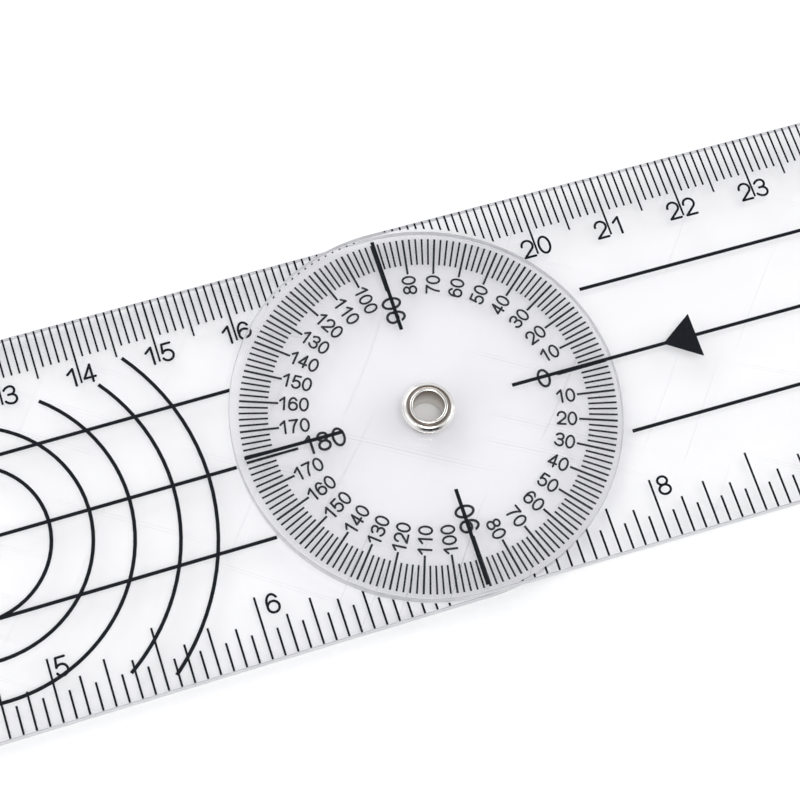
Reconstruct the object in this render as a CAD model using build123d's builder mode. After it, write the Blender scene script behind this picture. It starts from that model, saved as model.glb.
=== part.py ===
from build123d import *

import os
from math import asin, cos, degrees, hypot, radians, sin

# Transparent two-arm goniometer: two clear ruler-shaped sheets that turn on one metal eyelet.
#
# Frame: origin on the pivot axis at the eyelet's bottom face, +Z up out of the printed faces, +X
# along the moving arm when the instrument reads zero, +Y towards the centimetre edges.
# Millimetres and degrees.

# ---- Sheets -------------------------------------------------------------------------------------
ARM_WIDTH = 49.2
HEAD_RADIUS = ARM_WIDTH / 2  # each arm ends in a half disc at the pivot
OUTLINE_SHIFT = 0.15  # how far both arms' outlines are off the pivot, towards +Y
ARM_REACH = 190.0  # pivot to the far end of either arm
END_CORNER_RADIUS = 5.0
SHEET_THICKNESS = 1.5
SHEET_GAP = 0.15  # between the two sheets
MOVING_ARM_ANGLE = -0.6  # how far the moving arm is turned from zero at rest

# ---- Eyelet and washer --------------------------------------------------------------------------
BORE_RADIUS = 1.95
BARREL_RADIUS = 2.25
FLANGE_RADIUS = 2.5
FLANGE_THICKNESS = 0.3
FLANGE_CHAMFER = 0.05
MOUTH_ROUNDING = 0.12  # flare where the bore meets the bottom face
LIP_RADIUS = 2.4  # outside of the rolled lip
LIP_HEIGHT = 0.5  # rolled lip above its seat in the washer
LIP_ROUNDING = 0.25  # rounded part of that height
RUNNING_CLEARANCE = 0.05  # moving arm to barrel, and moving arm to washer
WASHER_BORE_RADIUS = 2.28
WASHER_SEAT_RADIUS = 2.68  # recess that the rolled lip sits in
WASHER_RADIUS = 3.3
WASHER_SEAT_HEIGHT = 0.4
WASHER_RIM_HEIGHT = 0.78
WASHER_EDGE_HEIGHT = 0.15
WASHER_DOME_RADIUS = 0.75

# ---- Ink ----------------------------------------------------------------------------------------
INK_THICKNESS = 0.04
PRINT_SHIFT = 0.2  # how far the stationary arm's print is off the pivot, towards +X
PRINT_INSET = 0.1  # clear margin between the ink and the long edges
PRINT_CLEAR_RADIUS = 24.55  # the edge scales stop at this circle about the print's centre
TICK_WIDTH = 0.24
LONG_TICK_WIDTH = 0.26
INCH_TICK_WIDTH = 0.27
LINE_WIDTH = 0.46

# ---- Edge scales --------------------------------------------------------------------------------
PIVOT_STATION = 180  # where the pivot falls on the millimetre scale
SCALE_END = 360
MM_TICK = 5.0
HALF_CM_TICK = 6.35
CM_TICK = 8.45
INCH = 25.4
INCH_DIVISIONS = 16
PIVOT_SIXTEENTH = int(PIVOT_STATION / INCH * INCH_DIVISIONS)  # last inch graduation before the pivot
SIXTEENTH_TICK = 3.55
EIGHTH_TICK = 4.85
QUARTER_TICK = 5.95
HALF_INCH_TICK = 7.95
MOVING_INCH_CUT = 0.2  # the moving arm's inch graduations are this much shorter
SHORTEST_TICK = 0.15  # shorter stubs beside the clear circle are left out
FIXED_LAST_CM = 16  # no numerals where the other arm's head lies
MOVING_FIRST_CM = 20
FIXED_LAST_INCH = 6
MOVING_FIRST_INCH = 8
LAST_INCH = 14
NUMERAL_HEIGHT = 2.6
NUMERAL_PEN = 0.31
CM_NUMERAL_Y = 17.2
CM_LEFT_DIGIT = -1.03  # digit centres either side of their tick
CM_RIGHT_DIGIT = 1.17
INCH_NUMERAL_Y = -17.75
INCH_DIGIT_OFFSET = 1.55  # digit centre to the right of its tick
INCH_DIGIT_OFFSETS = {5: 1.4, 6: 1.95}  # two numbers are set by eye
INCH_DIGIT_PITCH = 2.0

# ---- Degree ring --------------------------------------------------------------------------------
RING_OUTER = 23.6
MINOR_INNER = 20.0
TEN_INNER = 18.75
QUARTER_INNER = 17.0
MINOR_STEP = 2
TEN_STEP = 10
QUARTER_STEP = 90
HALF_TURN = 180
TEN_WIDTH = 0.28
QUARTER_WIDTH = 0.34
TEN_HEIGHT = 1.86
TEN_PEN = 0.27
TEN_PITCH = 1.345
TEN_OUTWARD = 17.9  # radius of the outermost digit's centre where a number reads outwards
TEN_INWARD = 18.25  # and where it reads inwards
MAJOR_HEIGHT = 2.57
MAJOR_PEN = 0.34
MAJOR_PITCH = 1.93
MAJOR_OUTWARD = 15.2
MAJOR_INWARD = 15.65

# ---- Guide lines, circles and pointer -----------------------------------------------------------
GUIDE_SPACING = 10.0
FIXED_GUIDE_START = 24.85  # the lines stop at these circles about each print's centre
MOVING_GUIDE_START = 25.5
CIRCLE_CENTRE_X = -58.45
CLOSED_CIRCLES = (10.0, 15.0)
OPEN_CIRCLE = 20.0  # open at the top only
OPEN_CIRCLE_TOP = 15.4
SPLIT_CIRCLES = ((25.5, 15.4, -21.0), (30.0, 18.0, -22.8))  # radius, top and bottom of the arcs
INDEX_INNER = 11.0
INDEX_OUTER = 23.6
INDEX_DIRECTIONS = (90, 180, 270)
ARROW_TIP = 31.2
ARROW_BASE = 35.65
ARROW_HALF_HEIGHT = 3.0

# ---- Heights of the stack -----------------------------------------------------------------------
FIXED_BOTTOM = FLANGE_THICKNESS
FIXED_TOP = FIXED_BOTTOM + SHEET_THICKNESS
MOVING_BOTTOM = FIXED_TOP + SHEET_GAP
MOVING_TOP = MOVING_BOTTOM + SHEET_THICKNESS
WASHER_BOTTOM = MOVING_TOP + RUNNING_CLEARANCE
WASHER_SEAT = WASHER_BOTTOM + WASHER_SEAT_HEIGHT
LIP_TOP = WASHER_SEAT + LIP_HEIGHT

FIXED_PRINT = Plane((PRINT_SHIFT, 0, FIXED_TOP))
MOVING_SHEET = Plane.XY.offset(MOVING_BOTTOM).rotated((0, 0, MOVING_ARM_ANGLE))
MOVING_PRINT = Plane.XY.offset(MOVING_TOP).rotated((0, 0, MOVING_ARM_ANGLE))


# ---- Numerals drawn with a round-tipped pen -----------------------------------------------------
# Each digit's pen strokes run inside the box from -half_w to half_w and -half_h to half_h.
STROKE_ASPECT = 0.62  # width over height of that box
WAIST = 0.06  # how far above the middle the bowls of 3 and 8 meet, as a share of half_h


def pen_ring(x, y, x_radius, y_radius, pen):
    """An oval line in the current sketch."""
    with Locations((x, y)):
        Ellipse(x_radius + pen / 2, y_radius + pen / 2)
        Ellipse(x_radius - pen / 2, y_radius - pen / 2, mode=Mode.SUBTRACT)


def pen_line(pen, *points):
    """A straight or bent line in the current sketch."""
    with BuildLine() as stroke:
        Polyline(*points)
        offset(amount=pen / 2, side=Side.BOTH)
    make_face(stroke.edges())


def draw_zero(half_w, half_h, pen):
    pen_ring(0, 0, half_w, half_h, pen)


def draw_one(half_w, half_h, pen):
    stem_x = 0.48 * half_w
    pen_line(pen, (-0.6 * half_w, 0.46 * half_h), (stem_x, half_h), (stem_x, -half_h))


def draw_two(half_w, half_h, pen):
    bowl_y = half_h - half_w
    bowl_turn = radians(-50)
    bowl_end = (half_w * cos(bowl_turn), bowl_y + half_w * sin(bowl_turn))
    with BuildLine() as stroke:
        ThreePointArc((-half_w, bowl_y), (0, half_h), bowl_end)
        Polyline(bowl_end, (-half_w, -half_h), (half_w, -half_h))
        offset(amount=pen / 2, side=Side.BOTH)
    make_face(stroke.edges())


def draw_three(half_w, half_h, pen):
    waist = WAIST * half_h
    upper = (half_h - waist) / 2
    lower = (half_h + waist) / 2
    upper_x = 0.9 * half_w - upper
    lower_x = half_w - lower
    with BuildLine() as stroke:
        TangentArc((upper_x, half_h), (-0.9 * half_w, half_h - 0.7 * upper), tangent=(-1, 0))
        CenterArc((upper_x, half_h - upper), upper, -90, 180)
        Line((upper_x, waist), (-0.3 * half_w, waist))
        offset(amount=pen / 2, side=Side.BOTH)
    make_face(stroke.edges())
    with BuildLine() as stroke:
        TangentArc((lower_x, -half_h), (-half_w, 0.7 * lower - half_h), tangent=(-1, 0))
        CenterArc((lower_x, lower - half_h), lower, -90, 180)
        offset(amount=pen / 2, side=Side.BOTH)
    make_face(stroke.edges())


def draw_four(half_w, half_h, pen):
    stem_x = 0.42 * half_w
    bar_y = -0.48 * half_h
    pen_line(pen, (stem_x, half_h), (-half_w, bar_y), (half_w, bar_y))
    pen_line(pen, (stem_x, half_h), (stem_x, -half_h))


def draw_five(half_w, half_h, pen):
    bowl_y = half_w - half_h
    bowl_start = radians(145)
    shoulder = (half_w * cos(bowl_start), bowl_y + half_w * sin(bowl_start))
    pen_line(pen, (0.85 * half_w, half_h), (-0.62 * half_w, half_h), shoulder)
    with BuildLine() as stroke:
        CenterArc((0, bowl_y), half_w, -155, 300)
        offset(amount=pen / 2, side=Side.BOTH)
    make_face(stroke.edges())


def draw_six(half_w, half_h, pen):
    bowl_y = half_w - half_h
    pen_ring(0, 0, half_w, half_h, pen)
    with Locations((0, 0.5 * half_h)):
        Rectangle(2 * half_w, 2 * half_h, align=(Align.MIN, Align.MAX), mode=Mode.SUBTRACT)
    with Locations((0, bowl_y)):
        Rectangle(4 * half_w, 2 * half_h, align=(Align.CENTER, Align.MAX), mode=Mode.SUBTRACT)
    pen_ring(0, bowl_y, half_w, half_w, pen)


def draw_seven(half_w, half_h, pen):
    pen_line(pen, (-half_w, half_h), (half_w, half_h))
    with BuildLine() as stroke:
        ThreePointArc((half_w, half_h), (0.05 * half_w, 0.05 * half_h), (-0.35 * half_w, -half_h))
        offset(amount=pen / 2, side=Side.BOTH)
    make_face(stroke.edges())


def draw_eight(half_w, half_h, pen):
    waist = WAIST * half_h
    upper = (half_h - waist) / 2
    lower = (half_h + waist) / 2
    pen_ring(0, half_h - upper, 0.86 * half_w, upper, pen)
    pen_ring(0, lower - half_h, half_w, lower, pen)


DIGIT_SHAPES = (
    draw_zero,
    draw_one,
    draw_two,
    draw_three,
    draw_four,
    draw_five,
    draw_six,
    draw_seven,
    draw_eight,
)


def make_digits(height, pen):
    """The ten digits of one size, each centred on the origin. A nine is a six upside down."""
    half_h = (height - pen) / 2
    half_w = half_h * STROKE_ASPECT
    digits = []
    for draw in DIGIT_SHAPES:
        with BuildSketch() as digit:
            draw(half_w, half_h, pen)
        digits.append(digit.sketch)
    digits.append(digits[6].rotate(Axis.Z, 180))
    return digits


def number(value, digits, pitch, x, y, angle=0):
    """A number's digits in a row centred on (x, y), reading in the direction of the angle."""
    figures = [digits[int(figure)] for figure in str(value)]
    start = -pitch * (len(figures) - 1) / 2
    place = Location((x, y, 0), (0, 0, angle))
    return [
        figure.moved(place * Location((start + pitch * i, 0, 0)))
        for i, figure in enumerate(figures)
    ]


SCALE_DIGITS = make_digits(NUMERAL_HEIGHT, NUMERAL_PEN)
TEN_DIGITS = make_digits(TEN_HEIGHT, TEN_PEN)
MAJOR_DIGITS = make_digits(MAJOR_HEIGHT, MAJOR_PEN)


# ---- Plans that both arms share -----------------------------------------------------------------
def arm_plan(direction, hole_radius):
    """One arm: a strip towards +X or -X with a half-round head at the pivot hole."""
    strip_side = Align.MIN if direction > 0 else Align.MAX
    with BuildSketch() as plan:
        with Locations((0, OUTLINE_SHIFT)):
            Rectangle(ARM_REACH, ARM_WIDTH, align=(strip_side, Align.CENTER))
            Circle(HEAD_RADIUS)
        far_corners = plan.vertices().filter_by(lambda corner: abs(corner.X) > ARM_REACH / 2)
        fillet(far_corners, END_CORNER_RADIUS)
        Circle(hole_radius, mode=Mode.SUBTRACT)
    return plan.sketch


def edge_ticks(stations, length, width, side):
    """Ticks of one length in the current sketch, reaching in from the +Y or -Y edge."""
    outer_y = ARM_WIDTH / 2 + side * OUTLINE_SHIFT - PRINT_INSET
    middle_y = side * (outer_y - length / 2)
    offsets = [station - PIVOT_STATION for station in stations]
    clear = [x for x in offsets if hypot(x, outer_y - SHORTEST_TICK) > PRINT_CLEAR_RADIUS]
    with Locations(*[(x, middle_y) for x in clear]):
        Rectangle(width, length)


def centimetre_ticks(first, last):
    """Graduations at every millimetre from first to last, cleared around the degree ring."""
    stations = range(first, last + 1)
    with BuildSketch() as ticks:
        edge_ticks([s for s in stations if s % 5], MM_TICK, TICK_WIDTH, 1)
        edge_ticks([s for s in stations if s % 10 == 5], HALF_CM_TICK, TICK_WIDTH, 1)
        edge_ticks([s for s in stations if s % 10 == 0], CM_TICK, LONG_TICK_WIDTH, 1)
        Circle(PRINT_CLEAR_RADIUS, mode=Mode.SUBTRACT)
    return ticks.sketch


def centimetre_numerals(first, last):
    """Numbers astride their ticks, one digit each side; a single digit stands on the right."""
    placed = []
    for value in range(first, last + 1):
        x = 10 * value - PIVOT_STATION
        tens, units = divmod(value, 10)
        placed += number(units, SCALE_DIGITS, 0, x + CM_RIGHT_DIGIT, CM_NUMERAL_Y)
        if tens:
            placed += number(tens, SCALE_DIGITS, 0, x + CM_LEFT_DIGIT, CM_NUMERAL_Y)
    return placed


def inch_ticks(first, last, cut=0.0):
    """Graduations at every sixteenth of an inch from first to last, all shortened by the cut."""
    sixteenths = range(first, last + 1)
    with BuildSketch() as ticks:
        for length, chosen in (
            (SIXTEENTH_TICK, [n for n in sixteenths if n % 2]),
            (EIGHTH_TICK, [n for n in sixteenths if n % 4 == 2]),
            (QUARTER_TICK, [n for n in sixteenths if n % 8 == 4]),
            (HALF_INCH_TICK, [n for n in sixteenths if n % 8 == 0]),
        ):
            stations = [n * INCH / INCH_DIVISIONS for n in chosen]
            edge_ticks(stations, length - cut, INCH_TICK_WIDTH, -1)
        Circle(PRINT_CLEAR_RADIUS, mode=Mode.SUBTRACT)
    return ticks.sketch


def inch_numerals(first, last):
    """Numbers to the right of their ticks."""
    placed = []
    for value in range(first, last + 1):
        gap = INCH_DIGIT_OFFSETS.get(value, INCH_DIGIT_OFFSET)
        extra = INCH_DIGIT_PITCH / 2 * (len(str(value)) - 1)
        x = value * INCH - PIVOT_STATION + gap + extra
        placed += number(value, SCALE_DIGITS, INCH_DIGIT_PITCH, x, INCH_NUMERAL_Y)
    return placed


def guide_line(start, end, y):
    """A lengthwise line in the current sketch."""
    with Locations(((start + end) / 2, y)):
        Rectangle(abs(end - start), LINE_WIDTH)


def circle_line(radius):
    """A closed circle's line about the origin."""
    with BuildSketch() as line:
        Circle(radius + LINE_WIDTH / 2)
        Circle(radius - LINE_WIDTH / 2, mode=Mode.SUBTRACT)
    return line.sketch


def arc_lines(radius, top_y, bottom_y):
    """A circle's right and left arcs about the origin, each from its top height down to its bottom."""
    top = degrees(asin(top_y / radius))
    bottom = degrees(asin(bottom_y / radius))
    with BuildSketch() as lines:
        for start in (bottom, HALF_TURN - top):
            with BuildLine():
                CenterArc((0, 0), radius, start, top - bottom)
            trace(line_width=LINE_WIDTH)
    return lines.sketch


# ---- Sheets -------------------------------------------------------------------------------------
with BuildPart() as fixed_arm:
    with BuildSketch(Plane.XY.offset(FIXED_BOTTOM)):
        add(arm_plan(-1, BARREL_RADIUS))
    extrude(amount=SHEET_THICKNESS)

with BuildPart() as moving_arm:
    with BuildSketch(MOVING_SHEET):
        add(arm_plan(1, BARREL_RADIUS + RUNNING_CLEARANCE))
    extrude(amount=SHEET_THICKNESS)

# ---- Eyelet: flange below, barrel, lip rolled outwards over the washer --------------------------
with BuildPart() as eyelet:
    with BuildSketch(Plane.XZ):
        with BuildLine():
            flange_edge = FLANGE_RADIUS - FLANGE_CHAMFER
            lip_middle = (BORE_RADIUS + LIP_RADIUS) / 2
            lip_shoulder = LIP_TOP - LIP_ROUNDING
            Line((BORE_RADIUS, lip_shoulder), (BORE_RADIUS, MOUTH_ROUNDING))
            CenterArc((BORE_RADIUS + MOUTH_ROUNDING, MOUTH_ROUNDING), MOUTH_ROUNDING, 180, 90)
            Polyline(
                (BORE_RADIUS + MOUTH_ROUNDING, 0),
                (flange_edge, 0),
                (FLANGE_RADIUS, FLANGE_CHAMFER),
                (FLANGE_RADIUS, FLANGE_THICKNESS),
                (BARREL_RADIUS, FLANGE_THICKNESS),
                (BARREL_RADIUS, WASHER_SEAT),
                (LIP_RADIUS, WASHER_SEAT),
                (LIP_RADIUS, lip_shoulder),
            )
            ThreePointArc(
                (LIP_RADIUS, lip_shoulder),
                (lip_middle, LIP_TOP),
                (BORE_RADIUS, lip_shoulder),
            )
        make_face()
    revolve(axis=Axis.Z)

# ---- Washer: domed ring with a recess for the rolled lip ----------------------------------------
with BuildPart() as eyelet_washer:
    with BuildSketch(Plane.XZ):
        with BuildLine():
            washer_rim = WASHER_BOTTOM + WASHER_RIM_HEIGHT
            washer_edge = WASHER_BOTTOM + WASHER_EDGE_HEIGHT
            Polyline(
                (WASHER_RADIUS, washer_edge),
                (WASHER_RADIUS, WASHER_BOTTOM),
                (WASHER_BORE_RADIUS, WASHER_BOTTOM),
                (WASHER_BORE_RADIUS, WASHER_SEAT),
                (WASHER_SEAT_RADIUS, WASHER_SEAT),
                (WASHER_SEAT_RADIUS, washer_rim),
            )
            RadiusArc((WASHER_SEAT_RADIUS, washer_rim), (WASHER_RADIUS, washer_edge), WASHER_DOME_RADIUS)
        make_face()
    revolve(axis=Axis.Z)

# ---- Degree ring on the stationary arm ----------------------------------------------------------
with BuildPart() as degree_ring_marks:
    with BuildSketch(FIXED_PRINT):
        for inner, step, width in (
            (MINOR_INNER, MINOR_STEP, TICK_WIDTH),
            (TEN_INNER, TEN_STEP, TEN_WIDTH),
            (QUARTER_INNER, QUARTER_STEP, QUARTER_WIDTH),
        ):
            with PolarLocations((inner + RING_OUTER) / 2, 360 // step):
                Rectangle(RING_OUTER - inner, width)
    extrude(amount=INK_THICKNESS)

with BuildPart() as degree_ring_numerals:
    with BuildSketch(FIXED_PRINT):
        ring_numbers = []
        for direction in range(TEN_STEP - HALF_TURN, HALF_TURN + 1, TEN_STEP):
            reads_outwards = abs(direction) <= QUARTER_STEP and direction != -QUARTER_STEP
            turn = direction if reads_outwards else direction + HALF_TURN
            if direction % QUARTER_STEP:
                digits = TEN_DIGITS
                pitch = TEN_PITCH
                outermost = TEN_OUTWARD if reads_outwards else TEN_INWARD
            else:
                digits = MAJOR_DIGITS
                pitch = MAJOR_PITCH
                outermost = MAJOR_OUTWARD if reads_outwards else MAJOR_INWARD
            radius = outermost - pitch * (len(str(abs(direction))) - 1) / 2
            x = radius * cos(radians(direction))
            y = radius * sin(radians(direction))
            ring_numbers += number(abs(direction), digits, pitch, x, y, turn)
        add(ring_numbers)
    extrude(amount=INK_THICKNESS)

# ---- Stationary arm's edge scales, axis lines and circles ---------------------------------------
fixed_inch_ticks = inch_ticks(0, PIVOT_SIXTEENTH)
fixed_inch_numbers = inch_numerals(1, FIXED_LAST_INCH)

with BuildPart() as fixed_cm_marks:
    with BuildSketch(FIXED_PRINT):
        add(centimetre_ticks(0, PIVOT_STATION))
    extrude(amount=INK_THICKNESS)

with BuildPart() as fixed_cm_numerals:
    with BuildSketch(FIXED_PRINT):
        add(centimetre_numerals(1, FIXED_LAST_CM))
    extrude(amount=INK_THICKNESS)

with BuildPart() as fixed_inch_marks:
    with BuildSketch(FIXED_PRINT):
        add(fixed_inch_ticks)
    extrude(amount=INK_THICKNESS)

with BuildPart() as fixed_inch_numerals:
    with BuildSketch(FIXED_PRINT):
        add(fixed_inch_numbers)
    extrude(amount=INK_THICKNESS)

with BuildPart() as fixed_guide_lines:
    with BuildSketch(FIXED_PRINT):
        for y in (-GUIDE_SPACING, 0, GUIDE_SPACING):
            guide_line(-PIVOT_STATION, -((FIXED_GUIDE_START**2 - y**2) ** 0.5), y)
        with Locations((CIRCLE_CENTRE_X, 0)):
            add([circle_line(radius) for radius in CLOSED_CIRCLES])
            add(arc_lines(OPEN_CIRCLE, OPEN_CIRCLE_TOP, -OPEN_CIRCLE))
            for radius, top_y, bottom_y in SPLIT_CIRCLES:
                add(arc_lines(radius, top_y, bottom_y))
        add([fixed_inch_ticks, *fixed_inch_numbers], mode=Mode.SUBTRACT)
    extrude(amount=INK_THICKNESS)

# ---- Moving arm's edge scales, side lines and pointer -------------------------------------------
with BuildPart() as moving_cm_marks:
    with BuildSketch(MOVING_PRINT):
        add(centimetre_ticks(PIVOT_STATION, SCALE_END))
    extrude(amount=INK_THICKNESS)

with BuildPart() as moving_cm_numerals:
    with BuildSketch(MOVING_PRINT):
        add(centimetre_numerals(MOVING_FIRST_CM, SCALE_END // 10))
    extrude(amount=INK_THICKNESS)

with BuildPart() as moving_inch_marks:
    with BuildSketch(MOVING_PRINT):
        add(inch_ticks(PIVOT_SIXTEENTH + 1, LAST_INCH * INCH_DIVISIONS, MOVING_INCH_CUT))
    extrude(amount=INK_THICKNESS)

with BuildPart() as moving_inch_numerals:
    with BuildSketch(MOVING_PRINT):
        add(inch_numerals(MOVING_FIRST_INCH, LAST_INCH))
    extrude(amount=INK_THICKNESS)

with BuildPart() as moving_side_lines:
    with BuildSketch(MOVING_PRINT):
        for y in (-GUIDE_SPACING, GUIDE_SPACING):
            start = (MOVING_GUIDE_START**2 - y**2) ** 0.5
            guide_line(start, SCALE_END - PIVOT_STATION, y)
    extrude(amount=INK_THICKNESS)

with BuildPart() as moving_pointer:
    with BuildSketch(MOVING_PRINT):
        guide_line(INDEX_INNER, SCALE_END - PIVOT_STATION, 0)
        index_middle = (INDEX_INNER + INDEX_OUTER) / 2
        for direction in INDEX_DIRECTIONS:
            with PolarLocations(index_middle, 1, start_angle=direction):
                Rectangle(INDEX_OUTER - INDEX_INNER, LINE_WIDTH)
        with BuildLine():
            Polyline(
                (ARROW_TIP, 0),
                (ARROW_BASE, ARROW_HALF_HEIGHT),
                (ARROW_BASE, -ARROW_HALF_HEIGHT),
                close=True,
            )
        make_face()
    extrude(amount=INK_THICKNESS)

# ---- One file for each piece --------------------------------------------------------------------
PIECES = {
    "fixed_arm": fixed_arm,
    "moving_arm": moving_arm,
    "eyelet": eyelet,
    "eyelet_washer": eyelet_washer,
    "degree_ring_marks": degree_ring_marks,
    "degree_ring_numerals": degree_ring_numerals,
    "fixed_cm_marks": fixed_cm_marks,
    "fixed_cm_numerals": fixed_cm_numerals,
    "fixed_inch_marks": fixed_inch_marks,
    "fixed_inch_numerals": fixed_inch_numerals,
    "fixed_guide_lines": fixed_guide_lines,
    "moving_cm_marks": moving_cm_marks,
    "moving_cm_numerals": moving_cm_numerals,
    "moving_inch_marks": moving_inch_marks,
    "moving_inch_numerals": moving_inch_numerals,
    "moving_side_lines": moving_side_lines,
    "moving_pointer": moving_pointer,
}

os.makedirs("parts", exist_ok=True)
for name, piece in PIECES.items():
    piece.part.label = name
    export_step(piece.part, f"parts/{name}.step")
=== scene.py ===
"""Looks of the clear two-arm goniometer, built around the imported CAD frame. Metres, same frame."""

from math import cos, pi, radians, sin

import bmesh
import bpy
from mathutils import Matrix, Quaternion, Vector


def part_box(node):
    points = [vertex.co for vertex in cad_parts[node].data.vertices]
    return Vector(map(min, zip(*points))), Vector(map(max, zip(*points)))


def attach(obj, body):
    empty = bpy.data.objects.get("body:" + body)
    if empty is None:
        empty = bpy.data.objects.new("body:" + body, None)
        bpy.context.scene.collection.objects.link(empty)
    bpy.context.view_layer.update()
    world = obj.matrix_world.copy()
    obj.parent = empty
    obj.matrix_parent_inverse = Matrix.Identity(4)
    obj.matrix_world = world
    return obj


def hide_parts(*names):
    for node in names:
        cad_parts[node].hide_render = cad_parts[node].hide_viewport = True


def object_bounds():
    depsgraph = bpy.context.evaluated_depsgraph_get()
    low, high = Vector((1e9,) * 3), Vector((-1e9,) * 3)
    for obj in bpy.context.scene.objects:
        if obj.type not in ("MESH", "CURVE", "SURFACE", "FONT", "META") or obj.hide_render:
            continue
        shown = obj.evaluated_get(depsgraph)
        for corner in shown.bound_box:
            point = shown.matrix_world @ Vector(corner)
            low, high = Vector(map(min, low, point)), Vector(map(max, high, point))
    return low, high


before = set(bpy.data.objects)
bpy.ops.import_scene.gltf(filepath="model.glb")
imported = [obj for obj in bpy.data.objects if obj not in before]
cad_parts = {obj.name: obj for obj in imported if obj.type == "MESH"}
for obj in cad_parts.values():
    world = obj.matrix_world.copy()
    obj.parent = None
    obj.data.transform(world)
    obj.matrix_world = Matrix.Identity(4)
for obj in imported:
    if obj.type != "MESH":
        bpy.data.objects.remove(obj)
cad_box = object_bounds()

MM = 0.001
STATIONARY = "stationary_assembly"
MOVING = "moving_assembly"

# ---- Dimensions in millimetres --------------------------------------------------------------------
fixed_low, fixed_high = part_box("fixed_arm")
eyelet_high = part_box("eyelet")[1]
washer_low, washer_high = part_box("eyelet_washer")

ARM_REACH = -fixed_low[0] / MM
HEAD_RADIUS = (fixed_high[1] - fixed_low[1]) / 2 / MM
OUTLINE_SHIFT = (fixed_high[1] + fixed_low[1]) / 2 / MM  # both arms' outlines are off the pivot
END_CORNER_RADIUS = 5.0
MOVING_ARM_ANGLE = radians(-0.6)  # the moving arm's turn from zero at rest
EDGE_ROUNDING = 0.1  # broken corners of the cut sheets
INK_BITE = 0.01  # how far the ink is sunk into the plastic
FIXED_HOLE_RADIUS = 2.28
MOVING_HOLE_RADIUS = 2.32

BORE_RADIUS = 1.95
BARREL_RADIUS = 2.235
MOUTH_ROUNDING = 0.12
FLANGE_RADIUS = eyelet_high[0] / MM
FLANGE_CLEARANCE = 0.015
FLANGE_TOP = fixed_low[2] / MM - FLANGE_CLEARANCE
FLANGE_LOWER_ROUNDING = 0.06
FLANGE_UPPER_ROUNDING = 0.05
LIP_RADIUS = 2.4
LIP_HEIGHT = 0.5
LIP_TOP = eyelet_high[2] / MM
LIP_SEAT = LIP_TOP - LIP_HEIGHT
LIP_CROWN = 0.15  # rise of the rolled lip's rounded top
LIP_WAVE = 0.012  # unevenness of the rolled lip
LIP_WAVE_HEIGHT = 0.4  # the unevenness grows from nothing to its full size over this height
LIP_WAVES = ((2, 1.0, 0.6), (5, 0.6, 2.1), (11, 0.35, 0.0))  # count round the lip, share, phase

CAP_RADIUS = washer_high[0] / MM
CAP_BOTTOM = washer_low[2] / MM
CAP_TOP = washer_high[2] / MM
CAP_EDGE_HEIGHT = 0.15
CAP_EDGE = CAP_BOTTOM + CAP_EDGE_HEIGHT
CAP_DOME_TURN = 0.52 * pi  # the dome's curve ends a little past its top
CAP_BORE_RADIUS = 2.28
CAP_SEAT_RADIUS = 2.68
CAP_SEAT_HEIGHT = 0.385
CAP_SEAT = CAP_BOTTOM + CAP_SEAT_HEIGHT
CAP_SEAT_BLEND = ((0.0, 0.08), (0.03, 0.02), (0.1, 0.0))  # inwards and up from the seat's corner
CORNER_ROUNDING = 0.05

TABLE_SIZE = 6000.0
TABLE_CLEARANCE = 0.02

# ---- Mesh resolution ------------------------------------------------------------------------------
HEAD_SEGMENTS = 160
CORNER_SEGMENTS = 14
SIDE_SEGMENTS = 20
END_SEGMENTS = 6
EDGE_STEPS = 3
LATHE_SEGMENTS = 192
MOUTH_STEPS = 8
FLANGE_LOWER_STEPS = 5
FLANGE_UPPER_STEPS = 4
CORNER_STEPS = 3
LIP_STEPS = 18
DOME_STEPS = 16
SHARP_EDGE = radians(38)


# ---- Mesh helpers ---------------------------------------------------------------------------------
def finish_mesh(name, mesh_data, body, node, materials):
    """A new piece from a bmesh, riding on a body and standing for a CAD node."""
    bmesh.ops.recalc_face_normals(mesh_data, faces=mesh_data.faces)
    mesh = bpy.data.meshes.new(name)
    mesh_data.to_mesh(mesh)
    mesh_data.free()
    piece = bpy.data.objects.new(name, mesh)
    bpy.context.collection.objects.link(piece)
    for material in materials:
        mesh.materials.append(material)
    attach(piece, body)
    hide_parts(node)


def arc(centre, radius, start, end, segments):
    """Points along an arc, both ends included. Angles in degrees."""
    angles = [radians(start + (end - start) * i / segments) for i in range(segments + 1)]
    return [(centre[0] + radius * cos(a), centre[1] + radius * sin(a)) for a in angles]


def between(first, last, segments):
    """The points inside a straight run, both ends left out."""
    return [
        tuple(a + (b - a) * i / segments for a, b in zip(first, last)) for i in range(1, segments)
    ]


def arm_outline(inset, shift):
    """An arm towards +X with its half-round head at the origin, shrunk by inset, moved along Y."""
    corner = END_CORNER_RADIUS - inset
    corner_x = ARM_REACH - END_CORNER_RADIUS
    corner_y = HEAD_RADIUS - END_CORNER_RADIUS
    head = arc((0, 0), HEAD_RADIUS - inset, 90, 270, HEAD_SEGMENTS)
    low_corner = arc((corner_x, -corner_y), corner, -90, 0, CORNER_SEGMENTS)
    high_corner = arc((corner_x, corner_y), corner, 0, 90, CORNER_SEGMENTS)
    outline = [
        *head,
        *between(head[-1], low_corner[0], SIDE_SEGMENTS),
        *low_corner,
        *between(low_corner[-1], high_corner[0], END_SEGMENTS),
        *high_corner,
        *between(high_corner[-1], head[0], SIDE_SEGMENTS),
    ]
    return [(x, y + shift) for x, y in outline]


def hole_outline(radius, count):
    """A circle with the head's points on one half and the rest of the arm's points on the other."""
    head = arc((0, 0), radius, 90, 270, HEAD_SEGMENTS)
    rest = arc((0, 0), radius, -90, 90, count - len(head) + 1)
    return head + rest[1:-1]


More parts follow.
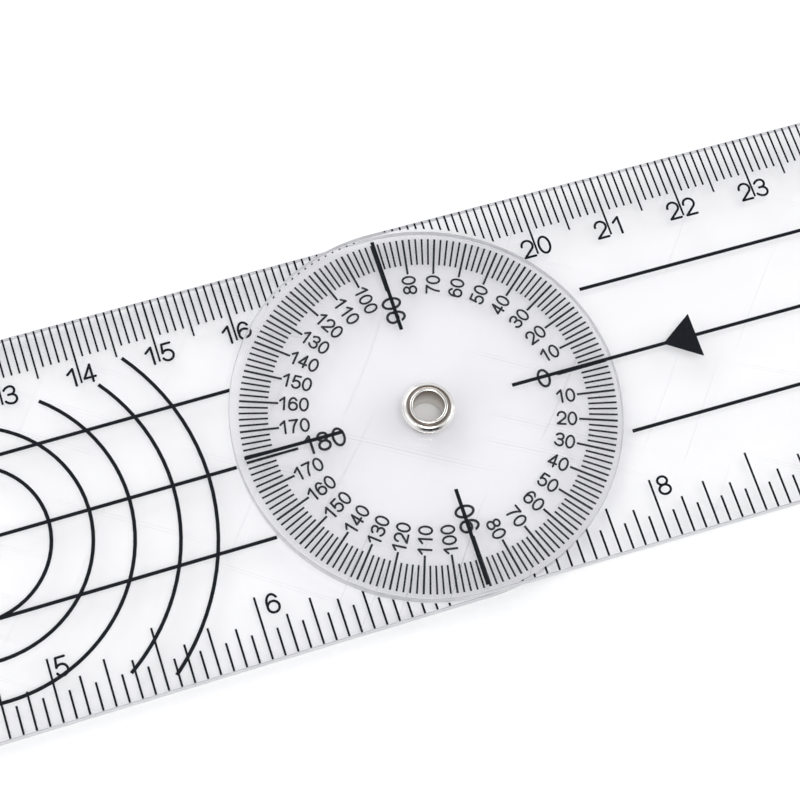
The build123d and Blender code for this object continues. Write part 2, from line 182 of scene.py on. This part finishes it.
def edge_levels(bottom, top):
    """Height and inset of the loops up a sheet's edge, with a rounded corner at both faces."""
    turns = [pi / 2 * i / EDGE_STEPS for i in range(EDGE_STEPS + 1)]
    rounding = [(EDGE_ROUNDING * (1 - cos(a)), EDGE_ROUNDING * (1 - sin(a))) for a in turns]
    lower = [(bottom + rise, inset) for rise, inset in rounding]
    upper = [(top - rise, inset) for rise, inset in reversed(rounding)]
    return lower + upper


def make_loop(mesh_data, points, height, turn):
    """One closed loop of a sheet's vertices, turned about the pivot axis."""
    return [
        mesh_data.verts.new(
            (
                (x * cos(turn) - y * sin(turn)) * MM,
                (x * sin(turn) + y * cos(turn)) * MM,
                height * MM,
            )
        )
        for x, y in points
    ]


def make_sheet(name, node, body, turn, shift, hole_radius, materials):
    """A clear sheet in place of the CAD one, with a material each for face, cut edge and top corner;
    the corner's material is a darker copy of the edge, painted shade.
    """
    low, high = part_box(node)
    mesh_data = bmesh.new()
    outer, inner = [], []
    for height, inset in edge_levels(low[2] / MM, high[2] / MM + INK_BITE):
        outline = arm_outline(inset, shift)
        hole = hole_outline(hole_radius + inset, len(outline))
        outer.append(make_loop(mesh_data, outline, height, turn))
        inner.append(make_loop(mesh_data, hole, height, turn))
    count = len(outer[0])
    for i in range(count):
        j = (i + 1) % count
        for loops in (outer, inner):
            for level, (below, above) in enumerate(zip(loops, loops[1:])):
                wall = mesh_data.faces.new((below[i], below[j], above[j], above[i]))
                wall.smooth = True
                # The top rounded corner gets the darker copy of the edge material: painted shade for
                # the thin dark line along the sheet's top edge.
                wall.material_index = 2 if level > EDGE_STEPS else 1
        for level in (0, -1):
            rim, hole_rim = outer[level], inner[level]
            mesh_data.faces.new((rim[i], rim[j], hole_rim[j], hole_rim[i]))
    finish_mesh(name, mesh_data, body, node, materials)


def lathe(name, node, profile, material, wave):
    """A closed profile of (radius, height) turned about the pivot axis, in place of a CAD node."""
    mesh_data = bmesh.new()
    rings = []
    for i in range(LATHE_SEGMENTS):
        angle = 2 * pi * i / LATHE_SEGMENTS
        ring = []
        for point in profile:
            radius, height = wave(*point, angle)
            place = (radius * cos(angle) * MM, radius * sin(angle) * MM, height * MM)
            ring.append(mesh_data.verts.new(place))
        rings.append(ring)
    for i, ring in enumerate(rings):
        following = rings[(i + 1) % LATHE_SEGMENTS]
        for j in range(len(profile)):
            k = (j + 1) % len(profile)
            face = mesh_data.faces.new((ring[j], following[j], following[k], ring[k]))
            face.smooth = True
    mesh_data.normal_update()
    for edge in mesh_data.edges:
        edge.smooth = edge.calc_face_angle(0) < SHARP_EDGE
    finish_mesh(name, mesh_data, STATIONARY, node, [material])


# ---- Material helpers -----------------------------------------------------------------------------
def add_node(tree, kind, inputs=None, **settings):
    """A shader node with its settings, and each input either linked or given a value."""
    node = tree.nodes.new(kind)
    for key, value in settings.items():
        setattr(node, key, value)
    for key, value in (inputs or {}).items():
        socket = node.inputs[key]
        if isinstance(value, bpy.types.NodeSocket):
            tree.links.new(value, socket)
        else:
            socket.default_value = value
    return node


def new_material(name):
    """An empty node material, its output node and the piece's own coordinates in millimetres."""
    material = bpy.data.materials.new(name)
    material.use_nodes = True
    tree = material.node_tree
    tree.nodes.clear()
    output = add_node(tree, "ShaderNodeOutputMaterial")
    place = add_node(tree, "ShaderNodeTexCoord").outputs["Object"]
    scaled = add_node(
        tree, "ShaderNodeMapping", {"Vector": place, "Scale": (1 / MM, 1 / MM, 1 / MM)}
    )
    return material, tree, output, scaled.outputs["Vector"]


def noise(tree, place, scale, detail=2.0, roughness=0.5):
    inputs = {"Vector": place, "Scale": scale, "Detail": detail, "Roughness": roughness}
    return add_node(tree, "ShaderNodeTexNoise", inputs).outputs["Fac"]


def to_range(tree, value, low, high, to_low=0.0, to_high=1.0):
    inputs = {
        "Value": value,
        "From Min": low,
        "From Max": high,
        "To Min": to_low,
        "To Max": to_high,
    }
    return add_node(tree, "ShaderNodeMapRange", inputs).outputs["Result"]


def calculate(tree, operation, a, b=0.0):
    return add_node(tree, "ShaderNodeMath", {0: a, 1: b}, operation=operation).outputs[0]


def mix_colour(tree, share, a, b):
    node = add_node(tree, "ShaderNodeMix", {0: share}, data_type="RGBA")
    for index, value in ((6, a), (7, b)):
        if isinstance(value, bpy.types.NodeSocket):
            tree.links.new(value, node.inputs[index])
        else:
            node.inputs[index].default_value = (*value, 1.0)
    return node.outputs[2]


def bump(tree, height, strength, distance):
    inputs = {"Strength": strength, "Distance": distance * MM, "Height": height}
    return add_node(tree, "ShaderNodeBump", inputs).outputs["Normal"]


def principled(tree, inputs):
    return add_node(tree, "ShaderNodeBsdfPrincipled", inputs).outputs[0]


def scratches(tree, place, angle, lane_width, half_width, length, seed):
    """Hair scratches in one direction, one at most in each lane, each at its own place in it."""
    turned = add_node(
        tree,
        "ShaderNodeMapping",
        {"Vector": place, "Location": (0, seed, 0), "Rotation": (0, 0, radians(angle))},
    ).outputs["Vector"]
    parts = add_node(tree, "ShaderNodeSeparateXYZ", {"Vector": turned})
    wander = to_range(tree, noise(tree, turned, 0.03, 0.0), 0.0, 1.0, 0.0, 5.0)
    across = calculate(tree, "ADD", parts.outputs["Y"], wander)
    lane = calculate(tree, "DIVIDE", across, lane_width)
    lane_number = calculate(tree, "FLOOR", lane)
    chance = add_node(
        tree, "ShaderNodeTexWhiteNoise", {"W": lane_number}, noise_dimensions="1D"
    ).outputs["Color"]
    chances = add_node(tree, "ShaderNodeSeparateColor", {"Color": chance})
    middle = to_range(tree, chances.outputs["Red"], 0.0, 1.0, 0.15, 0.85)
    off_middle = calculate(tree, "SUBTRACT", calculate(tree, "FRACT", lane), middle)
    away = calculate(tree, "MULTIPLY", calculate(tree, "ABSOLUTE", off_middle), lane_width)
    thin = to_range(tree, away, half_width, half_width * 0.3)
    along = calculate(tree, "DIVIDE", parts.outputs["X"], length)
    start = calculate(tree, "MULTIPLY", chances.outputs["Green"], 9.0)
    share = calculate(tree, "FRACT", calculate(tree, "ADD", along, start))
    fading_in = to_range(tree, share, 0.0, 0.05)
    fading_out = to_range(tree, share, 0.32, 0.2)
    depth = calculate(tree, "MULTIPLY", fading_in, fading_out)
    return calculate(tree, "MULTIPLY", thin, depth)


def specks(tree, place, scale, radius, share):
    """Small round flecks in a share of the cells of a random pattern."""
    cells = add_node(
        tree, "ShaderNodeTexVoronoi", {"Vector": place, "Scale": scale}, feature="F1"
    )
    dot = to_range(tree, cells.outputs["Distance"], radius * scale, radius * scale * 0.5)
    pick = add_node(tree, "ShaderNodeSeparateColor", {"Color": cells.outputs["Color"]})
    chosen = to_range(tree, pick.outputs["Red"], 1 - share, 1 - share + 0.01)
    return calculate(tree, "MULTIPLY", dot, chosen)


def lamps_pass(tree, output, shader, tint):
    """Lets lamps and the floor's scattered light straight through clear plastic, slightly dimmed."""
    path = add_node(tree, "ShaderNodeLightPath")
    passing = calculate(
        tree, "MAXIMUM", path.outputs["Is Shadow Ray"], path.outputs["Is Diffuse Ray"]
    )
    clear = add_node(tree, "ShaderNodeBsdfTransparent", {"Color": (*tint, 1.0)})
    surface = add_node(
        tree, "ShaderNodeMixShader", {0: passing, 1: shader, 2: clear.outputs[0]}
    )
    tree.links.new(surface.outputs[0], output.inputs["Surface"])


# ---- Materials ------------------------------------------------------------------------------------
def clear_plastic():
    """Polished face of the sheet: faint lavender grey, hair scratches, dust and slight haze."""
    material, tree, output, place = new_material("clear_plastic")
    haze = noise(tree, place, 0.07, 4.0)
    tone = mix_colour(
        tree, to_range(tree, haze, 0.3, 0.7), (0.972, 0.968, 0.981), (0.996, 0.993, 1.0)
    )
    long_marks = scratches(
        tree, place, angle=31, lane_width=2.6, half_width=0.035, length=90.0, seed=11.0
    )
    cross_marks = scratches(
        tree, place, angle=-52, lane_width=4.1, half_width=0.03, length=60.0, seed=47.0
    )
    marks = calculate(tree, "MAXIMUM", long_marks, cross_marks)
    dust = specks(tree, place, scale=0.42, radius=0.06, share=0.3)
    flaws = calculate(tree, "MAXIMUM", calculate(tree, "MULTIPLY", marks, 0.65), dust)
    colour = mix_colour(tree, flaws, tone, (0.66, 0.66, 0.69))
    fine = to_range(tree, noise(tree, place, 1.4, 5.0), 0.3, 0.8, 0.0, 0.02)
    rough = calculate(tree, "ADD", fine, calculate(tree, "MULTIPLY", flaws, 0.2))
    dents = calculate(tree, "SUBTRACT", calculate(tree, "MULTIPLY", haze, 0.4), marks)
    shader = principled(
        tree,
        {
            "Base Color": colour,
            "Roughness": rough,
            "IOR": 1.49,
            "Transmission Weight": 1.0,
            "Normal": bump(tree, dents, 0.1, 0.01),
        },
    )
    lamps_pass(tree, output, shader, (0.98, 0.98, 0.984))
    return material


def cut_edge(name, dull, bright, tool_mark, clearness, mirror):
    """Sawn edge of the sheet: satin and partly clear, with fine upright tool marks."""
    material, tree, output, place = new_material(name)
    stretched = add_node(
        tree, "ShaderNodeMapping", {"Vector": place, "Scale": (1.0, 1.0, 0.08)}
    ).outputs["Vector"]
    tool_marks = noise(tree, stretched, 6.0, 3.0)
    wear = noise(tree, place, 0.5, 3.0)
    tone = mix_colour(tree, to_range(tree, wear, 0.3, 0.7), dull, bright)
    colour = mix_colour(tree, to_range(tree, tool_marks, 0.62, 0.75), tone, tool_mark)
    shader = principled(
        tree,
        {
            "Base Color": colour,
            "Roughness": to_range(tree, tool_marks, 0.3, 0.7, 0.38, 0.55),
            "IOR": 1.49,
            "Transmission Weight": clearness,
            "Metallic": mirror,
            "Normal": bump(tree, tool_marks, 0.2, 0.02),
        },
    )
    lamps_pass(tree, output, shader, (0.5, 0.5, 0.53))
    return material


def black_ink():
    """Screen-printed ink: blue-black, slightly uneven, with pinholes."""
    material, tree, output, place = new_material("black_ink")
    body = noise(tree, place, 2.2, 5.0)
    tone = mix_colour(
        tree, to_range(tree, body, 0.3, 0.75), (0.005, 0.007, 0.010), (0.010, 0.011, 0.015)
    )
    pinholes = specks(tree, place, scale=1.1, radius=0.045, share=0.12)
    shader = principled(
        tree,
        {
            "Base Color": mix_colour(tree, pinholes, tone, (0.3, 0.3, 0.34)),
            "Roughness": to_range(tree, noise(tree, place, 9.0, 4.0), 0.3, 0.7, 0.36, 0.58),
            "Specular IOR Level": 0.08,
            "Normal": bump(tree, body, 0.3, 0.01),
        },
    )
    tree.links.new(shader, output.inputs["Surface"])
    return material


def nickel(name, groove_inner, groove_outer):
    """Bright nickel plate with turned marks and stains, painted shade in the groove between cap and
    lip, and a bore painted darker towards its top.
    """
    material, tree, output, place = new_material(name)
    parts = add_node(tree, "ShaderNodeSeparateXYZ", {"Vector": place})
    flat = add_node(
        tree,
        "ShaderNodeCombineXYZ",
        {"X": parts.outputs["X"], "Y": parts.outputs["Y"]},
    )
    radius = add_node(
        tree, "ShaderNodeVectorMath", {0: flat.outputs[0]}, operation="LENGTH"
    ).outputs["Value"]
    stains = noise(tree, place, 1.6, 5.0, 0.6)
    grain = noise(tree, place, 14.0, 4.0)
    tone = mix_colour(
        tree, to_range(tree, stains, 0.35, 0.7), (0.80, 0.775, 0.735), (0.90, 0.89, 0.865)
    )
    # Painted shade: the groove between the rolled lip and the cap is painted darker, mottled by the
    # grain.
    inside = to_range(tree, radius, groove_inner, groove_inner + 0.06)
    outside = to_range(tree, radius, groove_outer, groove_outer - 0.06)
    groove = calculate(tree, "MULTIPLY", inside, outside)
    groove_shade = calculate(tree, "MULTIPLY", groove, to_range(tree, grain, 0.25, 0.6, 0.5, 1.0))
    # The bore's wall is painted darker, more so towards the top.
    in_bore = to_range(tree, radius, BORE_RADIUS + 0.06, BORE_RADIUS + 0.01)
    up_bore = to_range(tree, parts.outputs["Z"], 0.3 * LIP_TOP, 0.85 * LIP_TOP, 0.35, 0.95)
    bore_darkening = calculate(tree, "MULTIPLY", in_bore, up_bore)
    # dull: the painted groove shade and the darker bore, both also made rougher.
    dull = calculate(tree, "MAXIMUM", groove_shade, bore_darkening)
    shader = principled(
        tree,
        {
            # This dark brown is the colour of the painted groove shade and of the darker bore.
            "Base Color": mix_colour(tree, dull, tone, (0.27, 0.22, 0.19)),
            "Metallic": 1.0,
            "Roughness": calculate(
                tree,
                "ADD",
                to_range(tree, stains, 0.3, 0.75, 0.08, 0.2),
                calculate(tree, "MULTIPLY", dull, 0.25),
            ),
            "Normal": bump(tree, grain, 0.2, 0.02),
        },
    )
    tree.links.new(shader, output.inputs["Surface"])
    return material


def white_paper():
    """Matt white table top."""
    material, tree, output, place = new_material("white_paper")
    fibre = noise(tree, place, 0.9, 6.0)
    shader = principled(
        tree,
        {
            "Base Color": mix_colour(
                tree, to_range(tree, fibre, 0.3, 0.7), (0.89, 0.89, 0.89), (0.91, 0.91, 0.91)
            ),
            "Roughness": 0.95,
            "Normal": bump(tree, fibre, 0.1, 0.02),
        },
    )
    tree.links.new(shader, output.inputs["Surface"])
    return material


# ---- Clear sheets ---------------------------------------------------------------------------------
sheet_materials = [
    clear_plastic(),
    cut_edge(
        "cut_edge",
        dull=(0.80, 0.80, 0.83),
        bright=(0.90, 0.90, 0.92),
        tool_mark=(0.70, 0.70, 0.74),
        clearness=0.35,
        mirror=0.0,
    ),
    # A darker copy of the cut edge for the top corner: its dark grey colours are painted shade, a
    # thin dark outline along the sheet's top edge.
    cut_edge(
        "cut_corner_painted_shade",
        dull=(0.46, 0.46, 0.49),
        bright=(0.58, 0.58, 0.61),
        tool_mark=(0.4, 0.4, 0.43),
        clearness=0.3,
        mirror=0.6,
    ),
]
make_sheet(
    "stationary_sheet",
    "fixed_arm",
    STATIONARY,
    pi,
    -OUTLINE_SHIFT,
    FIXED_HOLE_RADIUS,
    sheet_materials,
)
make_sheet(
    "moving_sheet",
    "moving_arm",
    MOVING,
    MOVING_ARM_ANGLE,
    OUTLINE_SHIFT,
    MOVING_HOLE_RADIUS,
    sheet_materials,
)

# ---- Printed layers -------------------------------------------------------------------------------
PRINT_NAMES = ("degree_ring", "fixed_", "moving_")
ink = black_ink()
for node_name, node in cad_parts.items():
    if node_name.startswith(PRINT_NAMES) and not node_name.endswith("_arm"):
        node.data.materials.clear()
        node.data.materials.append(ink)


# ---- Eyelet and its cap ---------------------------------------------------------------------------
def even(radius, height, angle):
    """A part that is truly round."""
    return radius, height


def hand_set(radius, height, angle):
    """A lip that was rolled by a hand press: not quite even round its circle."""
    growth = max(0.0, min(1.0, (height - LIP_SEAT) / LIP_WAVE_HEIGHT))
    swell = sum(share * sin(count * angle + phase) for count, share, phase in LIP_WAVES)
    return radius + LIP_WAVE * growth * swell, height - LIP_WAVE * growth * (1 + 0.5 * swell)


def cap_dome():
    """The cap's crown, from its outer edge up, over the top and a little down to the recess."""
    width = (CAP_RADIUS - CAP_SEAT_RADIUS) / (1 - cos(CAP_DOME_TURN))
    turns = [CAP_DOME_TURN * i / DOME_STEPS for i in range(DOME_STEPS + 1)]
    return [
        (CAP_RADIUS - width * (1 - cos(a)), CAP_EDGE + (CAP_TOP - CAP_EDGE) * sin(a)) for a in turns
    ]


def lip_crown():
    """The rolled lip's rounded top, an oval from its outside over to the bore."""
    half_width = (LIP_RADIUS - BORE_RADIUS) / 2
    turns = [pi * i / LIP_STEPS for i in range(LIP_STEPS + 1)]
    return [
        (BORE_RADIUS + half_width * (1 + cos(a)), LIP_TOP - LIP_CROWN * (1 - sin(a))) for a in turns
    ]


mouth = (BORE_RADIUS + MOUTH_ROUNDING, MOUTH_ROUNDING)
flange_foot = (FLANGE_RADIUS - FLANGE_LOWER_ROUNDING, FLANGE_LOWER_ROUNDING)
flange_brim = (FLANGE_RADIUS - FLANGE_UPPER_ROUNDING, FLANGE_TOP - FLANGE_UPPER_ROUNDING)
lip_corner = (LIP_RADIUS - CORNER_ROUNDING, LIP_SEAT + CORNER_ROUNDING)
eyelet_profile = [
    *arc(mouth, MOUTH_ROUNDING, 180, 270, MOUTH_STEPS),
    *arc(flange_foot, FLANGE_LOWER_ROUNDING, -90, 0, FLANGE_LOWER_STEPS),
    *arc(flange_brim, FLANGE_UPPER_ROUNDING, 0, 90, FLANGE_UPPER_STEPS),
    (BARREL_RADIUS, FLANGE_TOP),
    (BARREL_RADIUS, LIP_SEAT),
    *arc(lip_corner, CORNER_ROUNDING, -90, 0, CORNER_STEPS),
    *lip_crown(),
]
cap_corner = (CAP_RADIUS - CORNER_ROUNDING, CAP_BOTTOM + CORNER_ROUNDING)
cap_profile = [
    (CAP_BORE_RADIUS, CAP_BOTTOM),
    *arc(cap_corner, CORNER_ROUNDING, -90, 0, CORNER_STEPS),
    *cap_dome(),
    *[(CAP_SEAT_RADIUS - inwards, CAP_SEAT + rise) for inwards, rise in CAP_SEAT_BLEND],
    (CAP_BORE_RADIUS, CAP_SEAT),
]
barrel_nickel = nickel("nickel_barrel", groove_inner=2.33, groove_outer=2.7)
cap_nickel = nickel("nickel_cap", groove_inner=2.3, groove_outer=2.71)
lathe("eyelet_barrel", "eyelet", eyelet_profile, barrel_nickel, hand_set)
lathe("eyelet_cap", "eyelet_washer", cap_profile, cap_nickel, even)

# ---- Table ----------------------------------------------------------------------------------------
half_table = TABLE_SIZE / 2 * MM
table_corners = [
    (-half_table, -half_table, 0),
    (half_table, -half_table, 0),
    (half_table, half_table, 0),
    (-half_table, half_table, 0),
]
table_mesh = bpy.data.meshes.new("table_top")
table_mesh.from_pydata(table_corners, [], [(0, 1, 2, 3)])
table_mesh.materials.append(white_paper())
table = bpy.data.objects.new("table_top", table_mesh)
table.location = (0, 0, cad_box[0][2] - TABLE_CLEARANCE * MM)
bpy.context.collection.objects.link(table)


# ---- Lights ---------------------------------------------------------------------------------------
def soft_box(name, place, size, watts):
    """A large soft area light facing the instrument."""
    light = bpy.data.lights.new(name, "AREA")
    light.shape = "RECTANGLE"
    light.size, light.size_y = size
    light.energy = watts
    lamp = bpy.data.objects.new(name, light)
    lamp.location = place
    lamp.rotation_mode = "QUATERNION"
    lamp.rotation_quaternion = (-Vector(place)).to_track_quat("-Z", "Y")
    lamp.visible_camera = False
    bpy.context.collection.objects.link(lamp)


soft_box("left_box", (-0.75, -0.05, 0.55), (0.7, 0.6), 0.7)
soft_box("right_box", (0.8, -0.15, 0.5), (0.6, 0.5), 1.3)
soft_box("back_box", (-0.25, 0.75, 0.6), (0.6, 0.5), 1.8)
soft_box("top_box", (-0.03, -0.22, 0.95), (0.35, 0.35), 3.2)

# A white room with a dark front and a grey patch of ceiling: the metal gets dark reflections and
# the clear sheets few white ones.
FRONT = (-0.12, -0.93, 0.34)
FRONT_FADE = (0.72, 0.9)  # cosines away from the middle at which the dark begins and is full
CEILING = (0.164, 0.328, 0.930)
CEILING_FADE = (0.93, 0.985)
world = bpy.data.worlds.new("studio")
world.use_nodes = True
world_tree = world.node_tree
world_tree.nodes.clear()
direction = add_node(world_tree, "ShaderNodeTexCoord").outputs["Generated"]


def facing(towards):
    """The cosine of the angle between a direction in the room and the given one."""
    inputs = {0: direction, 1: towards}
    return add_node(
        world_tree, "ShaderNodeVectorMath", inputs, operation="DOT_PRODUCT"
    ).outputs["Value"]


dark_share = to_range(world_tree, facing(FRONT), *FRONT_FADE)
grey_share = to_range(world_tree, facing(CEILING), *CEILING_FADE)
ceiling = mix_colour(world_tree, grey_share, (0.97, 0.975, 0.985), (0.36, 0.36, 0.365))
room = mix_colour(world_tree, dark_share, ceiling, (0.05, 0.05, 0.055))
backdrop = add_node(world_tree, "ShaderNodeBackground", {"Color": room, "Strength": 0.9})
add_node(world_tree, "ShaderNodeOutputWorld", {"Surface": backdrop.outputs[0]})
bpy.context.scene.world = world

# ---- Camera ---------------------------------------------------------------------------------------
CAMERA_TARGET = Vector((-2.807, 2.461, 2.3)) * MM
CAMERA_AZIMUTH = radians(-26.65)
CAMERA_ELEVATION = radians(68.51)
CAMERA_ROLL = radians(9.16)
CAMERA_DISTANCE = 258.9 * MM
CAMERA_LENS = 93.64
CAMERA_SENSOR = 36.0

backwards = Vector(
    (
        sin(CAMERA_AZIMUTH) * cos(CAMERA_ELEVATION),
        -cos(CAMERA_AZIMUTH) * cos(CAMERA_ELEVATION),
        sin(CAMERA_ELEVATION),
    )
)
camera_data = bpy.data.cameras.new("camera")
camera_data.lens = CAMERA_LENS
camera_data.sensor_width = CAMERA_SENSOR
camera_data.clip_start = 10 * MM
camera = bpy.data.objects.new("camera", camera_data)
camera.location = CAMERA_TARGET + backwards * CAMERA_DISTANCE
camera.rotation_mode = "QUATERNION"
level_view = (-backwards).to_track_quat("-Z", "Y")
camera.rotation_quaternion = level_view @ Quaternion((0, 0, 1), CAMERA_ROLL)
bpy.context.collection.objects.link(camera)

scene = bpy.context.scene
scene.camera = camera
scene.view_settings.view_transform = "Standard"
scene.cycles.max_bounces = 24
scene.cycles.transmission_bounces = 16
scene.cycles.transparent_max_bounces = 24
